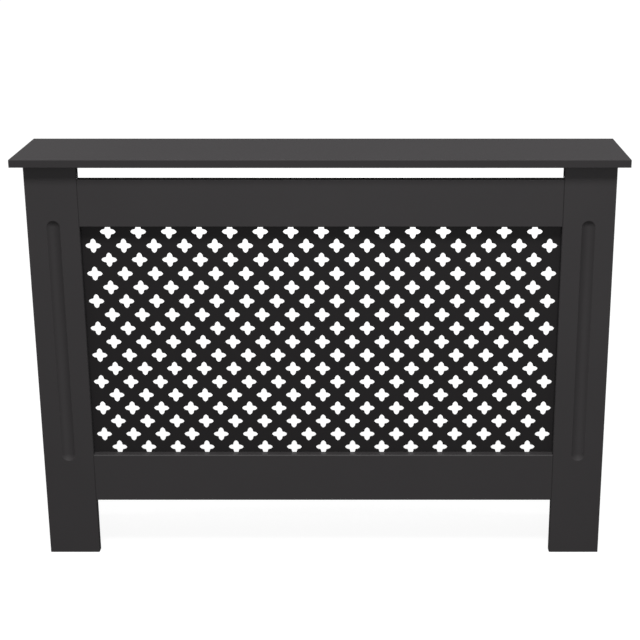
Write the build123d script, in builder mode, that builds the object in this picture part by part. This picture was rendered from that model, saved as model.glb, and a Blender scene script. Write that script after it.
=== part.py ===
"""Radiator cover cabinet: a shelf on an open-backed box whose front is a framed, pierced grille.

Millimetres. X runs along the cover, Y from the room towards the wall, and Z is up. The origin is on the
floor, under the middle of the shelf.
"""

import os

from build123d import *

# Overall
overall_height = 790.0
shelf_length = 1115.0
shelf_depth = 190.0
shelf_thickness = 15.0
shelf_edge_radius = 2.0
side_overhang = 21.0  # shelf past the outer face of each side
front_overhang = 15.0  # shelf past the face of the front frame

# Front frame: two stiles from floor to shelf, and two rails between them
frame_thickness = 15.0
stile_width = 96.0
floor_gap = 112.0  # floor to bottom rail
bottom_rail_height = 95.5
top_rail_height = 89.5
slot_height = 25.0  # air slot between top rail and shelf
arris = 1.5  # easing of the frame's front edges

# Routed flute down the middle of each stile, with rounded ends
flute_width = 25.0
flute_depth = 4.5
flute_overrun = 12.0  # past the grille opening, at each end

# Side panels, cut away at the foot of the wall for a skirting board
side_thickness = 15.0
skirting_height = 120.0
skirting_depth = 18.0

# Back rail under the shelf, with holes for two wall screws
back_rail_height = 40.0
back_rail_thickness = 15.0
wall_screw_inset = 60.0  # from each end of the back rail
wall_screw_radius = 2.5

# Grille panel behind the frame: a staggered lattice of four-armed holes
grille_thickness = 3.0
column_pitch = 56.1
row_pitch = 26.9
lattice_drop = 1.4  # middle of the lattice below the middle of the opening
arm_reach = 13.4  # hole centre to the end of an arm
arm_end_width = 7.6
arm_root_width = 10.8
side_margin = 4.0  # least sheet between the last hole and a stile
tip_cover = 5.0  # how far the first and last rows may run behind the rails

# Beads that hold the grille panel
bead_width = 12.0
bead_thickness = 9.0
bead_setback = 6.0  # from the edge of the opening, out of sight
bead_chamfer = 3.0
bead_margin = 4.0  # panel left outside the beads

# Loose splines that join the boards, each in a stopped groove of its own shape
spline_thickness = 4.0
spline_in_edge = 10.0  # depth into the edge or end of a board
spline_in_face = 7.0  # depth into the face of a board
spline_stop = 20.0  # plain board past each end of a long groove
spline_shoulder = 12.0  # plain board above and below a rail's groove
glue_gap = 0.1  # on each side of a spline
end_gap = 0.5  # beyond its ends and its edges

# Levels and faces that follow from them
body_half = shelf_length / 2 - side_overhang
opening_half = body_half - stile_width
stile_x = body_half - stile_width / 2
side_inner = body_half - side_thickness
side_x = body_half - side_thickness / 2
wall_face = shelf_depth / 2
back_rail_front = wall_face - back_rail_thickness
back_rail_y = wall_face - back_rail_thickness / 2
frame_front = front_overhang - shelf_depth / 2
frame_back = frame_front + frame_thickness
frame_y = frame_front + frame_thickness / 2
body_height = overall_height - shelf_thickness
back_rail_bottom = body_height - back_rail_height
opening_bottom = floor_gap + bottom_rail_height
top_rail_top = body_height - slot_height
opening_top = top_rail_top - top_rail_height
opening_z = (opening_bottom + opening_top) / 2
rail_levels = {"bottom_rail": (floor_gap, opening_bottom), "top_rail": (opening_top, top_rail_top)}

front_plane = Plane.XZ.offset(-frame_front)
grille_plane = Plane.XZ.offset(-frame_back)
bead_plane = Plane.XZ.offset(-frame_back - grille_thickness)
wall_plane = Plane.XZ.offset(-wall_face)


def span(middle, width):
    """Limits of a width centred on a middle."""
    return middle - width / 2, middle + width / 2


def inside(limits, margin):
    """Limits drawn in by a margin at each end; a negative margin opens them."""
    return limits[0] + margin, limits[1] - margin


def block(x, y, z, mode=Mode.ADD):
    """Straight-sided block between two limits along each axis."""
    with Locations((sum(x) / 2, sum(y) / 2, sum(z) / 2)):
        Box(x[1] - x[0], y[1] - y[0], z[1] - z[0], mode=mode)


def groove(spline, across):
    """Cut the room that a spline needs, with glue_gap along the axis across its thickness."""
    gaps = [glue_gap if axis == across else end_gap for axis in "xyz"]
    block(*[inside(limits, -gap) for limits, gap in zip(spline, gaps)], mode=Mode.SUBTRACT)


# Every spline on the left half, as its limits along X, Y and Z; the right half mirrors them.
rail_splines_left = {
    label: (
        span(-opening_half, 2 * spline_in_edge),
        span(frame_y, spline_thickness),
        inside(levels, spline_shoulder),
    )
    for label, levels in rail_levels.items()
}
side_spline_left = (
    span(-side_x, spline_thickness),
    (frame_back - spline_in_face, frame_back + spline_in_edge),
    inside((0, body_height), spline_stop),
)
shelf_spline_z = (body_height - spline_in_edge, body_height + spline_in_face)
stile_top_spline_left = (
    inside((-body_half, -opening_half), spline_stop),
    span(frame_y, spline_thickness),
    shelf_spline_z,
)
side_top_spline_left = (
    span(-side_x, spline_thickness),
    inside((frame_back, back_rail_front), spline_stop),
    shelf_spline_z,
)
back_spline_left = (
    (-side_inner - spline_in_face, -side_inner + spline_in_edge),
    span(back_rail_y, spline_thickness),
    inside((back_rail_bottom, body_height), spline_shoulder),
)

# The shelf lies on the stiles, side panels and back rail. Grooves cut at the left of a board that spans
# the cover are kept together with their mirror images at the right.
with BuildPart() as top_shelf:
    with BuildSketch(Plane.XY.offset(body_height)):
        Rectangle(shelf_length, shelf_depth)
    extrude(amount=shelf_thickness)
    fillet(top_shelf.edges().group_by(Axis.Z)[-1], shelf_edge_radius)
    groove(stile_top_spline_left, across="y")
    groove(side_top_spline_left, across="x")
    mirror(about=Plane.YZ, mode=Mode.INTERSECT)
top_shelf.part.label = "top_shelf"

# Each rail is a board between the stiles, grooved at both ends.
rails = []
for label, levels in rail_levels.items():
    with BuildPart() as rail:
        with BuildSketch(front_plane):
            with Locations((0, sum(levels) / 2)):
                Rectangle(2 * opening_half, levels[1] - levels[0])
        extrude(amount=-frame_thickness)
        chamfer(rail.faces().sort_by(Axis.Y)[0].edges().filter_by(Axis.X), arris)
        groove(rail_splines_left[label], across="y")
        mirror(about=Plane.YZ, mode=Mode.INTERSECT)
    rail.part.label = label
    rails.append(rail)

# A round-nosed cutter sinks flute_depth into the face and leaves flute_width there.
cutter_radius = (flute_width**2 / 4 + flute_depth**2) / (2 * flute_depth)
cutter_y = frame_front + flute_depth - cutter_radius
flute_low = opening_bottom - flute_overrun + flute_width / 2
flute_high = opening_top + flute_overrun - flute_width / 2

with BuildPart() as left_stile:
    with BuildSketch(front_plane):
        with Locations((-stile_x, body_height / 2)):
            Rectangle(stile_width, body_height)
    extrude(amount=-frame_thickness)
    chamfer(left_stile.faces().sort_by(Axis.Y)[0].edges().filter_by(Axis.Z), arris)
    for spline in rail_splines_left.values():
        groove(spline, across="y")
    groove(side_spline_left, across="x")
    groove(stile_top_spline_left, across="y")
    with BuildSketch(Plane.XZ.offset(-cutter_y)):
        with BuildLine():
            nose = CenterArc((-stile_x, flute_low), cutter_radius, -90, 90)
            Line(nose @ 1, (-stile_x + cutter_radius, flute_high))
            tail = CenterArc((-stile_x, flute_high), cutter_radius, 0, 90)
            Line(tail @ 1, nose @ 0)
        make_face()
    revolve(axis=Axis((-stile_x, cutter_y, 0), (0, 0, 1)), mode=Mode.SUBTRACT)
left_stile.part.label = "left_stile"

with BuildPart() as right_stile:
    mirror(left_stile.part, about=Plane.YZ)
right_stile.part.label = "right_stile"

# Each side panel reaches from the frame to the wall, and steps round the skirting board.
skirting_face = wall_face - skirting_depth

with BuildPart() as left_side_panel:
    with BuildSketch(Plane.YZ.offset(-body_half)):
        with BuildLine():
            Polyline(
                (frame_back, 0),
                (skirting_face, 0),
                (skirting_face, skirting_height),
                (wall_face, skirting_height),
                (wall_face, body_height),
                (frame_back, body_height),
                close=True,
            )
        make_face()
    extrude(amount=side_thickness)
    groove(side_spline_left, across="x")
    groove(side_top_spline_left, across="x")
    groove(back_spline_left, across="y")
left_side_panel.part.label = "left_side_panel"

with BuildPart() as right_side_panel:
    mirror(left_side_panel.part, about=Plane.YZ)
right_side_panel.part.label = "right_side_panel"

with BuildPart() as back_rail:
    with BuildSketch(wall_plane):
        with Locations((0, body_height - back_rail_height / 2)):
            Rectangle(2 * side_inner, back_rail_height)
            with Locations((wall_screw_inset - side_inner, 0), (side_inner - wall_screw_inset, 0)):
                Circle(wall_screw_radius, mode=Mode.SUBTRACT)
    extrude(amount=back_rail_thickness)
    groove(back_spline_left, across="y")
    mirror(about=Plane.YZ, mode=Mode.INTERSECT)
back_rail.part.label = "back_rail"

# The lattice hangs a little low in the opening; even rows hold one hole fewer and stand half a pitch across.
hole_columns = 1 + int((2 * opening_half - 2 * side_margin - 2 * arm_reach) // column_pitch)
hole_rows = 1 + int((opening_top - opening_bottom + 2 * tip_cover - 2 * arm_reach) // row_pitch)


def hole_row(row):
    """Centres of one row's holes."""
    count = hole_columns - 1 if row % 2 == 0 else hole_columns
    z = opening_z - lattice_drop + (row - (hole_rows - 1) / 2) * row_pitch
    return [((column - (count - 1) / 2) * column_pitch, z) for column in range(count)]


hole_centres = [centre for row in range(hole_rows) for centre in hole_row(row)]
arm_corners = [
    Vector(arm_reach, -arm_end_width / 2),
    Vector(arm_reach, arm_end_width / 2),
    Vector(arm_root_width / 2, arm_root_width / 2),
]
hole_outline = [corner.rotate(Axis.Z, 90 * arm) for arm in range(4) for corner in arm_corners]
bead_reach = bead_setback + bead_width
panel_overlap = bead_reach + bead_margin

with BuildPart() as grille_panel:
    with BuildSketch(grille_plane):
        with Locations((0, opening_z)):
            Rectangle(2 * (opening_half + panel_overlap), opening_top - opening_bottom + 2 * panel_overlap)
        with Locations(*hole_centres):
            Polygon(*hole_outline, align=None, mode=Mode.SUBTRACT)
    extrude(amount=-grille_thickness)
grille_panel.part.label = "grille_panel"

# Two long beads along the rails, and two short ones between them along the stiles.
long_bead = (-opening_half - bead_reach, opening_half + bead_reach)
short_bead = (opening_bottom - bead_setback, opening_top + bead_setback)
bead_limits = {
    "grille_bead_top": (long_bead, (opening_top + bead_setback, opening_top + bead_reach)),
    "grille_bead_bottom": (long_bead, (opening_bottom - bead_reach, opening_bottom - bead_setback)),
    "grille_bead_left": ((-opening_half - bead_reach, -opening_half - bead_setback), short_bead),
    "grille_bead_right": ((opening_half + bead_setback, opening_half + bead_reach), short_bead),
}

beads = []
for label, (x, z) in bead_limits.items():
    with BuildPart() as bead:
        with BuildSketch(bead_plane):
            with Locations((sum(x) / 2, sum(z) / 2)):
                Rectangle(x[1] - x[0], z[1] - z[0])
        extrude(amount=-bead_thickness)
        along = Axis.X if x == long_bead else Axis.Z
        chamfer(bead.faces().sort_by(Axis.Y)[-1].edges().filter_by(along), bead_chamfer)
    bead.part.label = label
    beads.append(bead)

left_splines = {
    "bottom_rail_splines": rail_splines_left["bottom_rail"],
    "top_rail_splines": rail_splines_left["top_rail"],
    "side_splines": side_spline_left,
    "stile_top_splines": stile_top_spline_left,
    "side_top_splines": side_top_spline_left,
    "back_rail_splines": back_spline_left,
}

splines = []
for label, spline in left_splines.items():
    with BuildPart() as spline_pair:
        block(*spline)
        mirror(about=Plane.YZ)
    spline_pair.part.label = label
    splines.append(spline_pair)

pieces = [
    top_shelf,
    *rails,
    left_stile,
    right_stile,
    left_side_panel,
    right_side_panel,
    back_rail,
    grille_panel,
    *beads,
    *splines,
]

os.makedirs("parts", exist_ok=True)
for piece in pieces:
    export_step(piece.part, f"parts/{piece.part.label}.step")
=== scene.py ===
"""Studio picture of a painted radiator cover: a shelf on an open-backed box with a pierced grille.

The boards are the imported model's own solids, given eased edges and paint. The grille sheet is built here,
because its holes have curved arms, and so are the pins of its beads. Metres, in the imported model's frame:
X along the cover, Y towards the wall, Z up, with the floor at zero.
"""

import logging
import math
from dataclasses import dataclass
from enum import Enum

import bmesh
import bpy
from mathutils import Matrix, Vector

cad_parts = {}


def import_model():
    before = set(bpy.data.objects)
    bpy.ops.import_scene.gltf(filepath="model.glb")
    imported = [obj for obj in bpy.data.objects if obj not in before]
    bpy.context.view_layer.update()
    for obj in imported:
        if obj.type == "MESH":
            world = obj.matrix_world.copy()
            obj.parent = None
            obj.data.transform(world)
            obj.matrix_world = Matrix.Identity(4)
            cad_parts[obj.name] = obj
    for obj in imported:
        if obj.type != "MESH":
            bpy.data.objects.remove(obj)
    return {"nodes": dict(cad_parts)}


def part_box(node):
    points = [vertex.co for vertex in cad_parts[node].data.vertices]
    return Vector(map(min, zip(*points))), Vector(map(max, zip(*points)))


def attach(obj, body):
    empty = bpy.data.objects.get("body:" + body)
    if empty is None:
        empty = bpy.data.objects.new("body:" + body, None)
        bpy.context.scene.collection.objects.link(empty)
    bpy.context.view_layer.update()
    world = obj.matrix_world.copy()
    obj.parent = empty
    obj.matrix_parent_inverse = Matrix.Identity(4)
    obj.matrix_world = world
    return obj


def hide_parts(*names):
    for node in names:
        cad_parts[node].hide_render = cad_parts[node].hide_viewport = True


LOG = logging.getLogger("radiator_cover")
MM = 0.001
BODY = "root"
FIRST, SECOND, MIXED = 6, 7, 2  # sockets of a Mix node that mixes colours
ACROSS, UP = 0, 1  # directions on the flat grille sheet


class Slot(Enum):
    """Names of the record's material slots; nothing in this script uses them."""

    BOARD = "painted_board"
    GRILLE = "painted_grille"


class BroadFace(Enum):
    """Direction that a board's broad faces look in; its other faces are sawn edges."""

    ENDWAYS = (1.0, 0.0, 0.0)
    FRONT = (0.0, 1.0, 0.0)
    UP = (0.0, 0.0, 1.0)


class Ray(Enum):
    """Kinds of ray that see the pale background, with the share of its white that each one sees."""

    CAMERA = ("Is Camera Ray", 1.0)
    TRANSMISSION = ("Is Transmission Ray", 1.0)
    GLOSSY = ("Is Glossy Ray", 0.06)  # dim, so that a satin coat keeps its own colour at a low angle


def linear(colour: str) -> tuple[float, float, float, float]:
    """Turn an sRGB hex colour into the linear one that a shader takes.

    Args:
        colour: Six hex digits after a hash.

    Returns:
        Linear red, green, blue and an alpha of one.
    """
    channels = [int(colour[start : start + 2], 16) / 255 for start in (1, 3, 5)]
    curve = [c / 12.92 if c <= 0.04045 else ((c + 0.055) / 1.055) ** 2.4 for c in channels]
    return (*curve, 1.0)


def add_node(
    tree: bpy.types.NodeTree,
    kind: str,
    inputs: dict[str | int, object] | None = None,
    **settings: str,
) -> bpy.types.Node:
    """Add one shader node, with its settings, values and links.

    Args:
        tree: Node tree that takes the node.
        kind: Blender's name of the node type.
        inputs: Value, or output socket to link, for each input by name or number.
        **settings: Properties of the node itself.

    Returns:
        The new node.
    """
    node = tree.nodes.new(kind)
    for name, value in settings.items():
        setattr(node, name, value)
    for key, value in (inputs or {}).items():
        socket = node.inputs[key]
        if isinstance(value, bpy.types.NodeSocket):
            tree.links.new(value, socket)
        else:
            socket.default_value = value
    return node


def new_material(name: str) -> tuple[bpy.types.Material, bpy.types.NodeTree]:
    """Make an empty node material.

    Args:
        name: Name of the material.

    Returns:
        The material and its node tree.
    """
    material = bpy.data.materials.new(name)
    material.use_nodes = True
    material.node_tree.nodes.clear()
    return material, material.node_tree


def new_piece(name: str, mesh: bpy.types.Mesh, material: bpy.types.Material) -> bpy.types.Object:
    """Add a painted piece that rides on the cover.

    Args:
        name: Name of the piece.
        mesh: Its mesh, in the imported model's frame.
        material: Finish.

    Returns:
        The new object.
    """
    piece = bpy.data.objects.new(name, mesh)
    bpy.context.scene.collection.objects.link(piece)
    mesh.materials.append(material)
    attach(piece, BODY)
    return piece


def per_metre(size_mm: float) -> float:
    """Scale of a pattern whose lumps are that many millimetres apart."""
    return 1 / (size_mm * MM)


@dataclass(frozen=True)
class SprayedEnamel:
    """Satin water-based enamel, sprayed on fibreboard: charcoal, with a soft and broad sheen.

    The eye gets a nearly even colour, faintly cloudy where the coat is thicker, and a fine orange peel that
    breaks up the sheen. Sawn edges are duller and a little furry, and darker: partly for the paint soaking
    in, partly as painted shade on sideways and recessed faces, such as the stiles' inner faces and the rails'
    tops.
    """

    name: str
    broad: BroadFace
    colour: str = "#343233"
    clouded: str = "#373536"  # where the coat is thickest
    roughness: float = 0.58
    peel_swing: float = 0.05  # roughness lost in the hollows of the peel and gained on its lumps
    cut_roughness: float = 0.1  # added on sawn edges
    edge_soak_and_shade: float = 0.9  # what a sawn edge keeps of the colour: partly paint soaking in, partly painted shade
    broad_above: float = 0.7  # cosine to the broad side's direction above which a face is broad
    cut_below: float = 0.4  # and below which it is a sawn edge
    ior: float = 1.5
    specular: float = 0.2  # below the usual half, because the coat is matted
    cloud_mm: float = 140.0
    peel_mm: float = 3.0
    peel_depth_mm: float = 0.03
    fibre_mm: float = 0.9  # tufts of fibre are a third of this, drawn coarser so that they show
    fibre_depth_mm: float = 0.012
    cut_fibre_depth_mm: float = 0.05
    nib_mm: float = 38.0  # spacing of the specks of dust caught under the coat
    nib_radius_mm: float = 0.5
    nib_height_mm: float = 0.06

    def cut_share(self, tree: bpy.types.NodeTree) -> bpy.types.NodeSocket:
        """Tell sawn edges from broad faces and their shallow flutes by where the surface looks.

        Args:
            tree: Node tree that takes the nodes.

        Returns:
            Output socket: 1 on a sawn edge, 0 on a broad face.
        """
        looks = add_node(tree, "ShaderNodeNewGeometry").outputs["True Normal"]
        along = add_node(
            tree, "ShaderNodeVectorMath", {0: looks, 1: self.broad.value}, operation="DOT_PRODUCT"
        )
        cosine = add_node(tree, "ShaderNodeMath", {0: along.outputs["Value"]}, operation="ABSOLUTE")
        share = add_node(
            tree,
            "ShaderNodeMapRange",
            {"Value": cosine.outputs["Value"], "From Min": self.broad_above, "From Max": self.cut_below},
        )
        return share.outputs["Result"]

    def relief(
        self, tree: bpy.types.NodeTree, cut: bpy.types.NodeSocket
    ) -> tuple[bpy.types.NodeSocket, bpy.types.NodeSocket]:
        """Raise the fibre, the orange peel and the odd speck.

        Args:
            tree: Node tree that takes the nodes.
            cut: Share of sawn edge.

        Returns:
            Output sockets of the peel's height and of the normal.
        """
        place = add_node(tree, "ShaderNodeTexCoord").outputs["Object"]
        peel = add_node(
            tree,
            "ShaderNodeTexNoise",
            {"Vector": place, "Scale": per_metre(self.peel_mm), "Detail": 2.0, "Roughness": 0.4},
        ).outputs["Fac"]
        fibre = add_node(
            tree,
            "ShaderNodeTexNoise",
            {"Vector": place, "Scale": per_metre(self.fibre_mm), "Detail": 4.0, "Roughness": 0.6},
        ).outputs["Fac"]
        nib = add_node(
            tree, "ShaderNodeTexVoronoi", {"Vector": place, "Scale": per_metre(self.nib_mm)}, feature="F1"
        )
        speck = add_node(
            tree,
            "ShaderNodeMapRange",
            {
                "Value": nib.outputs["Distance"],
                "From Min": self.nib_radius_mm / self.nib_mm,
                "From Max": 0.0,
            },
            interpolation_type="SMOOTHSTEP",
        )
        fur = add_node(
            tree,
            "ShaderNodeMapRange",
            {"Value": cut, "To Min": self.fibre_depth_mm * MM, "To Max": self.cut_fibre_depth_mm * MM},
        )
        under = add_node(tree, "ShaderNodeBump", {"Height": fibre, "Distance": fur.outputs["Result"]})
        coat = add_node(
            tree,
            "ShaderNodeBump",
            {"Height": peel, "Distance": self.peel_depth_mm * MM, "Normal": under.outputs["Normal"]},
        )
        specks = add_node(
            tree,
            "ShaderNodeBump",
            {
                "Height": speck.outputs["Result"],
                "Distance": self.nib_height_mm * MM,
                "Normal": coat.outputs["Normal"],
            },
        )
        return peel, specks.outputs["Normal"]

    def material(self) -> bpy.types.Material:
        """Build the paint.

        Returns:
            The finished material.
        """
        material, tree = new_material(self.name)
        cut = self.cut_share(tree)
        peel, normal = self.relief(tree, cut)
        place = add_node(tree, "ShaderNodeTexCoord").outputs["Object"]
        cloud = add_node(
            tree,
            "ShaderNodeTexNoise",
            {"Vector": place, "Scale": per_metre(self.cloud_mm), "Detail": 3.0, "Roughness": 0.55},
        )
        coat = add_node(
            tree,
            "ShaderNodeMix",
            {"Factor": cloud.outputs["Fac"], FIRST: linear(self.colour), SECOND: linear(self.clouded)},
            data_type="RGBA",
        )
        # painted shade, in part: sawn edges, among them the stiles' inner faces and the rails' tops, are
        # darkened; the rest stands for paint soaking into the edge
        kept = (self.edge_soak_and_shade, self.edge_soak_and_shade, self.edge_soak_and_shade, 1.0)
        soaked_and_shaded = add_node(
            tree,
            "ShaderNodeMix",
            {"Factor": cut, FIRST: coat.outputs[MIXED], SECOND: kept},
            data_type="RGBA",
            blend_type="MULTIPLY",
        )
        gloss = add_node(
            tree,
            "ShaderNodeMapRange",
            {
                "Value": peel,
                "To Min": self.roughness - self.peel_swing,
                "To Max": self.roughness + self.peel_swing,
            },
        )
        dulled = add_node(
            tree,
            "ShaderNodeMath",
            {0: cut, 1: self.cut_roughness, 2: gloss.outputs["Result"]},
            operation="MULTIPLY_ADD",
        )
        paint = add_node(
            tree,
            "ShaderNodeBsdfPrincipled",
            {
                "Base Color": soaked_and_shaded.outputs[MIXED],
                "Roughness": dulled.outputs["Value"],
                "IOR": self.ior,
                "Specular IOR Level": self.specular,
                "Normal": normal,
            },
        )
        add_node(tree, "ShaderNodeOutputMaterial", {"Surface": paint.outputs["BSDF"]})
        return material


@dataclass(frozen=True)
class BirchPlywood:
    """Bare birch plywood, sawn into strips: pale and matt, with a fine straight grain."""

    name: str = "sawn_birch_plywood"
    pale: str = "#D2B184"
    dark: str = "#B08D5E"
    grain_mm: float = 1.6
    grain_stretch: float = 30.0  # length of a fibre as a multiple of its width
    grain_depth_mm: float = 0.05
    roughness: float = 0.62
    ior: float = 1.5

    def material(self) -> bpy.types.Material:
        """Build the wood, with its grain along the boards' height.

        Returns:
            The finished material.
        """
        material, tree = new_material(self.name)
        place = add_node(tree, "ShaderNodeTexCoord").outputs["Object"]
        along = add_node(
            tree, "ShaderNodeMapping", {"Vector": place, "Scale": (1.0, 1.0, 1 / self.grain_stretch)}
        )
        grain = add_node(
            tree,
            "ShaderNodeTexNoise",
            {"Vector": along.outputs["Vector"], "Scale": per_metre(self.grain_mm), "Detail": 5.0},
        ).outputs["Fac"]
        tone = add_node(
            tree,
            "ShaderNodeMix",
            {"Factor": grain, FIRST: linear(self.pale), SECOND: linear(self.dark)},
            data_type="RGBA",
        )
        relief = add_node(tree, "ShaderNodeBump", {"Height": grain, "Distance": self.grain_depth_mm * MM})
        wood = add_node(
            tree,
            "ShaderNodeBsdfPrincipled",
            {
                "Base Color": tone.outputs[MIXED],
                "Roughness": self.roughness,
                "IOR": self.ior,
                "Normal": relief.outputs["Normal"],
            },
        )
        add_node(tree, "ShaderNodeOutputMaterial", {"Surface": wood.outputs["BSDF"]})
        return material


@dataclass
class Boards:
    """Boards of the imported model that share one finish, with their edges eased as sandpaper leaves them."""

    nodes: dict[str, bpy.types.Object]
    finish: SprayedEnamel | BirchPlywood
    easing: float = 0.5 * MM
    easing_steps: int = 2
    weld: float = 0.01 * MM  # points nearer than this are one
    sharp: float = math.radians(30.0)  # least bend that counts as an edge

    def names(self) -> tuple[str, ...]:
        """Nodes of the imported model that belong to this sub-assembly."""
        raise NotImplementedError

    def dress(self) -> bpy.types.Material:
        """Ease the edges of each board and finish it.

        Returns:
            The finish's material.
        """
        material = self.finish.material()
        for name in self.names():
            board = self.nodes[name]
            for slot in board.material_slots:
                slot.material = material
            weld = board.modifiers.new("weld", "WELD")
            weld.merge_threshold = self.weld
            ease = board.modifiers.new("eased_edges", "BEVEL")
            ease.width = self.easing
            ease.segments = self.easing_steps
            ease.limit_method = "ANGLE"
            ease.angle_limit = self.sharp
            LOG.info("dressed %s in %s", name, material.name)
        return material


@dataclass
class Shelf(Boards):
    """The shelf that the whole cover hangs together under."""

    def names(self) -> tuple[str, ...]:
        """The one board of the shelf."""
        return ("top_shelf",)


@dataclass
class FrontFrame(Boards):
    """Two fluted stiles from floor to shelf and the two rails between them."""

    def names(self) -> tuple[str, ...]:
        """The stiles and rails."""
        return ("left_stile", "right_stile", "top_rail", "bottom_rail")

    def opening(self) -> tuple[float, float, float, float]:
        """Find the space between the stiles and rails.

        Returns:
            Its left, right, bottom and top.
        """
        left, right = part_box("left_stile")[1].x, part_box("right_stile")[0].x
        bottom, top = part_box("bottom_rail")[1].z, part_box("top_rail")[0].z
        return left, right, bottom, top


@dataclass
class Carcass(Boards):
    """The two sides behind the stiles."""

    def names(self) -> tuple[str, ...]:
        """The side panels."""
        return ("left_side_panel", "right_side_panel")


@dataclass
class BackRail(Boards):
    """The rail under the back of the shelf that two wall screws go through."""

    def names(self) -> tuple[str, ...]:
        """The one board of the rail."""
        return ("back_rail",)


@dataclass
class Splines(Boards):
    """Loose tongues of plywood that join the boards, out of sight in their grooves."""

    easing: float = 0.2 * MM

    def names(self) -> tuple[str, ...]:
        """Every pair of splines."""
        return tuple(name for name in self.nodes if name.endswith("_splines"))


@dataclass
class Beads(Boards):
    """Four beads that hold the grille sheet against the frame, with a row of pins in each."""

    pin_pitch: float = 115 * MM
    pin_end: float = 25 * MM  # from a bead's end to its first pin
    pin_radius: float = 1.3 * MM
    pin_height: float = 0.35 * MM
    pin_sides: int = 16
    pin_rings: int = 3

    def names(self) -> tuple[str, ...]:
        """The four beads."""
        return tuple(f"grille_bead_{side}" for side in ("top", "bottom", "left", "right"))

    def pin_places(self) -> list[Vector]:
        """Places of the pins, evenly along the middle of each bead's back.

        Returns:
            The middle of each pin's head, on the bead.
        """
        places = []
        for name in self.names():
            low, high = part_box(name)
            middle = (low + high) / 2
            middle.y = high.y
            size = high - low
            along = Vector((1.0, 0.0, 0.0)) if size.x > size.z else Vector((0.0, 0.0, 1.0))
            run = max(size.x, size.z) - 2 * self.pin_end
            gaps = round(run / self.pin_pitch)
            places += [middle + along * run * (step / gaps - 0.5) for step in range(gaps + 1)]
        return places

    def pin_head(self, shape: bmesh.types.BMesh, place: Vector) -> None:
        """Add one head: a low dome of rings that close in on its top.

        Args:
            shape: Mesh that takes the head.
            place: Middle of the head, on the bead.
        """
        turns = [2 * math.pi * side / self.pin_sides for side in range(self.pin_sides)]
        rings = []
        for ring in range(self.pin_rings):
            lean = math.pi / 2 * ring / self.pin_rings
            radius, rise = self.pin_radius * math.cos(lean), self.pin_height * math.sin(lean)
            circle = [Vector((radius * math.cos(turn), rise, radius * math.sin(turn))) for turn in turns]
            rings.append([shape.verts.new(place + point) for point in circle])
        top = shape.verts.new(place + Vector((0.0, self.pin_height, 0.0)))
        for outer, inner in zip(rings, rings[1:]):
            for side in range(self.pin_sides):
                shape.faces.new((outer[side - 1], outer[side], inner[side], inner[side - 1]))
        for side in range(self.pin_sides):
            shape.faces.new((rings[-1][side - 1], rings[-1][side], top))
        shape.faces.new(rings[0])

    def pins(self, material: bpy.types.Material) -> None:
        """Drive the pins: low round heads, painted over with the beads.

        Args:
            material: Paint of the beads.
        """
        places = self.pin_places()
        shape = bmesh.new()
        for place in places:
            self.pin_head(shape, place)
        bmesh.ops.recalc_face_normals(shape, faces=shape.faces)
        mesh = bpy.data.meshes.new("bead_pins")
        shape.to_mesh(mesh)
        shape.free()
        mesh.shade_smooth()
        new_piece("bead_pins", mesh, material)
        LOG.info("drove %d pins", len(places))


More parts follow.
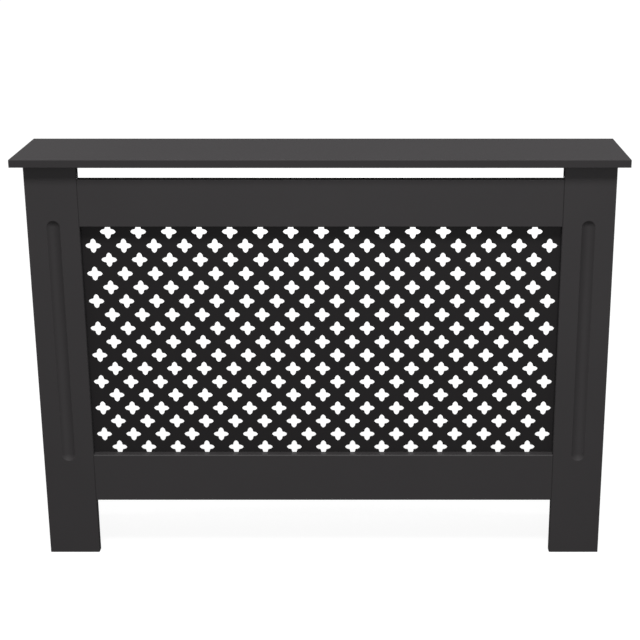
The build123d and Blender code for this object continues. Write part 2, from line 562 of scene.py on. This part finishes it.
@dataclass
class Grille:
    """Thin sheet behind the frame, pierced with a staggered lattice of four-armed holes."""

    finish: SprayedEnamel
    opening: tuple[float, float, float, float]  # left, right, bottom and top
    column_pitch: float = 56.1 * MM
    row_pitch: float = 26.9 * MM
    lattice_drop: float = 1.4 * MM  # middle of the lattice below the middle of the opening
    columns: int = 16  # in every second row, with one fewer in the rows between
    rows: int = 17
    arm_reach: float = 14.4 * MM
    arm_half_width: float = 5.15 * MM  # where the arm leaves the middle
    corner_radius: float = 2.0 * MM  # between two arms
    squat: float = 0.965  # height of a hole as a share of its width
    rim_rounding: float = 0.4 * MM
    rim_steps: int = 2
    rim_bend: float = math.radians(60.0)  # least bend that is rounded
    flank_steps: int = 4
    corner_steps: int = 2
    weld: float = 0.01 * MM  # points nearer than this are one

    def quarter(self) -> list[Vector]:
        """Outline of a quarter of a hole, from the tip of the arm along X to the one along Z.

        Returns:
            Points as X and Z, without the second tip.
        """
        root = self.arm_half_width + self.corner_radius
        run = self.arm_reach - root
        radius = (run**2 + self.arm_half_width**2) / (2 * self.arm_half_width)
        sweep = math.asin(run / radius)
        flank_centre = Vector((root, self.arm_half_width - radius))
        flank = []
        for step in range(self.flank_steps + 1):
            angle = sweep * (1 - step / self.flank_steps)
            flank.append(flank_centre + radius * Vector((math.sin(angle), math.cos(angle))))
        corner = []
        for step in range(1, self.corner_steps):
            angle = math.pi / 2 * step / self.corner_steps
            inwards = self.corner_radius * Vector((math.sin(angle), math.cos(angle)))
            corner.append(Vector((root, root)) - inwards)
        return flank + corner + [point.yx for point in flank[:0:-1]]

    def tile(self) -> tuple[list[Vector], list[Vector]]:
        """One hole and the diamond of sheet round it, which meets its neighbours edge to edge.

        Returns:
            Points of the hole's outline, and as many points of the diamond's edge beside them.
        """
        quarter = self.quarter()
        tips = [
            Vector((self.column_pitch / 2, 0.0)),
            Vector((0.0, self.row_pitch)),
            Vector((-self.column_pitch / 2, 0.0)),
            Vector((0.0, -self.row_pitch)),
        ]
        hole, diamond = [], []
        for turn, tip in enumerate(tips):
            spin = Matrix.Rotation(turn * math.pi / 2, 2)
            after = tips[(turn + 1) % len(tips)]
            for step, point in enumerate(quarter):
                turned = spin @ point
                hole.append(Vector((turned.x, turned.y * self.squat)))
                diamond.append(tip.lerp(after, step / len(quarter)))
        return hole, diamond

    def middle(self) -> Vector:
        """Middle of the lattice, as X and Z."""
        left, right, bottom, top = self.opening
        return Vector(((left + right) / 2, (bottom + top) / 2 - self.lattice_drop))

    def reach(self) -> Vector:
        """From the middle of the lattice to its outermost column and row."""
        return Vector(((self.columns - 1) * self.column_pitch, (self.rows - 1) * self.row_pitch)) / 2

    def centres(self) -> list[Vector]:
        """Set out the holes in rows, each staggered by half a pitch from the next.

        Returns:
            Their centres as X and Z.
        """
        found = []
        for row in range(self.rows):
            count = self.columns - 1 + row % 2
            for column in range(count):
                across = (column - (count - 1) / 2) * self.column_pitch
                found.append(self.middle() + Vector((across, row * self.row_pitch - self.reach().y)))
        return found

    def faces(self, low: Vector, high: Vector) -> list[tuple[Vector, ...]]:
        """Quads of the flat sheet: the tiles, and a border from their zigzag edge to the straight one.

        Args:
            low: Lowest corner of the panel, as X and Z.
            high: Highest corner of the panel, as X and Z.

        Returns:
            The corners of each quad.
        """
        middle, reach = self.middle(), self.reach()

        def carried(point: Vector, axis: int) -> Vector:
            """Carry a point of the zigzag edge out to the straight one.

            Args:
                point: Point of the zigzag edge.
                axis: Direction to carry it in.

            Returns:
                The point of the straight edge that lies out from it.
            """
            out = point.copy()
            out[axis] = low[axis] if point[axis] < middle[axis] else high[axis]
            return out

        quads = []
        hole, diamond = self.tile()
        for centre in self.centres():
            for step in range(len(hole)):
                first, second = centre + diamond[step - 1], centre + diamond[step]
                quads.append((centre + hole[step - 1], centre + hole[step], second, first))
                for axis in (ACROSS, UP):
                    nearest = min(abs(end[axis] - middle[axis]) for end in (first, second))
                    if nearest > reach[axis] - self.weld:
                        quads.append((first, second, carried(second, axis), carried(first, axis)))
        for across in (-reach.x, reach.x):
            for up in (-reach.y, reach.y):
                notch = middle + Vector((across, up))
                beside, beyond = carried(notch, ACROSS), carried(notch, UP)
                quads.append((notch, beside, carried(beside, UP), beyond))
        return quads

    def build(self) -> bpy.types.Object:
        """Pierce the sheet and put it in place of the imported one.

        Returns:
            The finished panel.
        """
        low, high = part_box("grille_panel")
        sheet = bmesh.new()
        for quad in self.faces(low.xz, high.xz):
            sheet.faces.new([sheet.verts.new((point.x, low.y, point.y)) for point in quad])
        bmesh.ops.remove_doubles(sheet, verts=sheet.verts, dist=self.weld)
        bmesh.ops.recalc_face_normals(sheet, faces=sheet.faces)
        mesh = bpy.data.meshes.new("grille_lattice")
        sheet.to_mesh(mesh)
        sheet.free()
        mesh.shade_smooth()
        panel = new_piece("grille_lattice", mesh, self.finish.material())
        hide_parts("grille_panel")
        solid = panel.modifiers.new("thickness", "SOLIDIFY")
        solid.thickness = high.y - low.y
        solid.offset = math.copysign(1.0, mesh.polygons[0].normal.y)
        rim = panel.modifiers.new("rounded_rims", "BEVEL")
        rim.width = self.rim_rounding
        rim.segments = self.rim_steps
        rim.limit_method = "ANGLE"
        rim.angle_limit = self.rim_bend
        rim.harden_normals = True
        LOG.info("pierced %s with %d holes", panel.name, len(self.centres()))
        return panel


@dataclass(frozen=True)
class Lamp:
    """One soft rectangular lamp, aimed a little above the cover's middle."""

    name: str
    at: tuple[float, float, float]
    size: tuple[float, float]
    watts: float
    aim: tuple[float, float, float] = (0.0, 0.0, 0.45)

    def hang(self) -> None:
        """Hang the lamp where it belongs and turn it to the cover."""
        data = bpy.data.lights.new(self.name, "AREA")
        data.shape = "RECTANGLE"
        data.size, data.size_y = self.size
        data.energy = self.watts
        lamp = bpy.data.objects.new(self.name, data)
        lamp.location = self.at
        lamp.rotation_euler = (Vector(self.aim) - Vector(self.at)).to_track_quat("-Z", "Y").to_euler()
        bpy.context.scene.collection.objects.link(lamp)
        LOG.info("hung %s, %.0f W", self.name, self.watts)


@dataclass
class Studio:
    """Plain studio: a pale floor, soft lamps and the camera at the photograph's angle."""

    picture_px: int = 640
    focal_px: float = 1336.6
    axis_right_px: float = 48.9  # the optical axis, right of the picture's middle
    axis_up_px: float = 70.0  # and above it
    sensor_mm: float = 36.0
    eye: tuple[float, float, float] = (0.0876, -2.432, 1.304)
    look_down: float = math.radians(16.272)
    floor_size: float = 60.0
    floor_colour: str = "#484848"  # as the cover's undersides see it
    floor_white: float = 0.91  # part of the floor's white that no shadow takes away, near the cover
    floor_shaded: str = "#696969"  # what the lamps light on top of that, so that shadows show
    near_floor: float = 1.5  # how far out the floor stays so
    far_floor: float = 5.0  # where it has turned plain white
    ambient: float = 0.24  # strength of the white surroundings as a light
    lamps: tuple[Lamp, ...] = (
        Lamp("high_key", (0.0, -2.6, 5.6), (1.6, 1.2), 330.0),
        Lamp("low_key", (0.3, -5.0, 0.5), (1.6, 0.6), 58.0),  # too low for the shelf to mirror it
        Lamp("left_fill", (-3.2, 0.0, 1.2), (0.3, 2.0), 60.0),
        Lamp("right_fill", (3.2, 0.0, 1.2), (0.3, 2.0), 60.0),
        Lamp("left_back", (-2.4, 1.8, 2.6), (1.4, 1.4), 9.0),
        Lamp("right_back", (2.4, 1.8, 2.6), (1.4, 1.4), 9.0),
        Lamp("low_back", (0.0, 3.2, 0.45), (1.0, 0.5), 34.0),
    )

    def camera(self) -> None:
        """Place the camera."""
        lens = bpy.data.cameras.new("camera")
        lens.sensor_width = self.sensor_mm
        lens.lens = self.focal_px / self.picture_px * self.sensor_mm
        lens.shift_x = -self.axis_right_px / self.picture_px
        lens.shift_y = -self.axis_up_px / self.picture_px
        lens.clip_end = self.floor_size
        camera = bpy.data.objects.new("camera", lens)
        camera.location = self.eye
        camera.rotation_euler = (math.pi / 2 - self.look_down, 0.0, 0.0)
        bpy.context.scene.collection.objects.link(camera)
        bpy.context.scene.camera = camera
        LOG.info("camera at %s", self.eye)

    def background_share(self, tree: bpy.types.NodeTree) -> bpy.types.NodeSocket:
        """Share of the pale background that a ray sees, from the kind of ray.

        Args:
            tree: Node tree that takes the nodes.

        Returns:
            Output socket of the share.
        """
        path = add_node(tree, "ShaderNodeLightPath")
        total: float | bpy.types.NodeSocket = 0.0
        for kind, share in (ray.value for ray in Ray):
            total = add_node(
                tree, "ShaderNodeMath", {0: path.outputs[kind], 1: share, 2: total}, operation="MULTIPLY_ADD"
            ).outputs["Value"]
        return total

    def floor_finish(self) -> bpy.types.Material:
        """Build the floor's matt white, which the camera sees as white but for the cover's shadow.

        Returns:
            The finished material.
        """
        material, tree = new_material("matt_white_floor")
        place = add_node(tree, "ShaderNodeTexCoord").outputs["Object"]
        distance = add_node(tree, "ShaderNodeVectorMath", {0: place}, operation="LENGTH").outputs["Value"]
        white = add_node(
            tree,
            "ShaderNodeMapRange",
            {
                "Value": distance,
                "From Min": self.near_floor,
                "From Max": self.far_floor,
                "To Min": self.floor_white,
                "To Max": 1.0,
            },
        )
        paper = add_node(tree, "ShaderNodeBsdfDiffuse", {"Color": linear(self.floor_colour)})
        faint = add_node(tree, "ShaderNodeBsdfDiffuse", {"Color": linear(self.floor_shaded)})
        glow = add_node(tree, "ShaderNodeEmission", {"Strength": white.outputs["Result"]})
        pale = add_node(tree, "ShaderNodeAddShader", {0: faint.outputs[0], 1: glow.outputs[0]})
        share = self.background_share(tree)
        mixed = add_node(tree, "ShaderNodeMixShader", {0: share, 1: paper.outputs[0], 2: pale.outputs[0]})
        add_node(tree, "ShaderNodeOutputMaterial", {"Surface": mixed.outputs[0]})
        return material

    def floor(self) -> None:
        """Lay the floor."""
        half = self.floor_size / 2
        corners = [(-half, -half, 0.0), (half, -half, 0.0), (half, half, 0.0), (-half, half, 0.0)]
        mesh = bpy.data.meshes.new("floor")
        mesh.from_pydata(corners, [], [(0, 1, 2, 3)])
        mesh.materials.append(self.floor_finish())
        floor = bpy.data.objects.new("floor", mesh)
        bpy.context.scene.collection.objects.link(floor)
        LOG.info("floor laid")

    def sky(self) -> None:
        """Surround the scene with white, which also lights it softly from all sides."""
        world = bpy.data.worlds.new("studio")
        world.use_nodes = True
        tree = world.node_tree
        tree.nodes.clear()
        strength = add_node(
            tree, "ShaderNodeMapRange", {"Value": self.background_share(tree), "To Min": self.ambient}
        )
        back = add_node(
            tree,
            "ShaderNodeBackground",
            {"Color": linear("#FFFFFF"), "Strength": strength.outputs["Result"]},
        )
        add_node(tree, "ShaderNodeOutputWorld", {"Surface": back.outputs[0]})
        bpy.context.scene.world = world

    def build(self) -> None:
        """Set up the camera, the floor, the surroundings and the lamps."""
        self.camera()
        self.floor()
        self.sky()
        for lamp in self.lamps:
            lamp.hang()


def main() -> None:
    """Build the scene in order: studio, boards, beads and grille."""
    logging.basicConfig(level=logging.INFO, format="%(name)s: %(message)s")
    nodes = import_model()["nodes"]
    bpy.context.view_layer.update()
    bpy.context.scene.view_settings.view_transform = "Standard"

    Studio().build()
    Shelf(nodes, SprayedEnamel("sprayed_satin_enamel_on_shelf_board", BroadFace.UP)).dress()
    front = FrontFrame(nodes, SprayedEnamel("sprayed_satin_enamel_on_frame_boards", BroadFace.FRONT))
    front.dress()
    Carcass(nodes, SprayedEnamel("sprayed_satin_enamel_on_side_boards", BroadFace.ENDWAYS)).dress()
    BackRail(nodes, SprayedEnamel("sprayed_satin_enamel_on_back_rail", BroadFace.FRONT)).dress()
    beads = Beads(nodes, SprayedEnamel("sprayed_satin_enamel_on_beads", BroadFace.FRONT))
    beads.pins(beads.dress())
    Splines(nodes, BirchPlywood()).dress()
    grille_paint = SprayedEnamel(
        "sprayed_satin_enamel_on_hardboard",
        BroadFace.FRONT,
        # a darker grey than the boards' paint
        colour="#1A1819",
        clouded="#1D1B1C",
        peel_mm=2.5,
    )
    Grille(grille_paint, front.opening()).build()


if __name__ == "__main__":
    main()
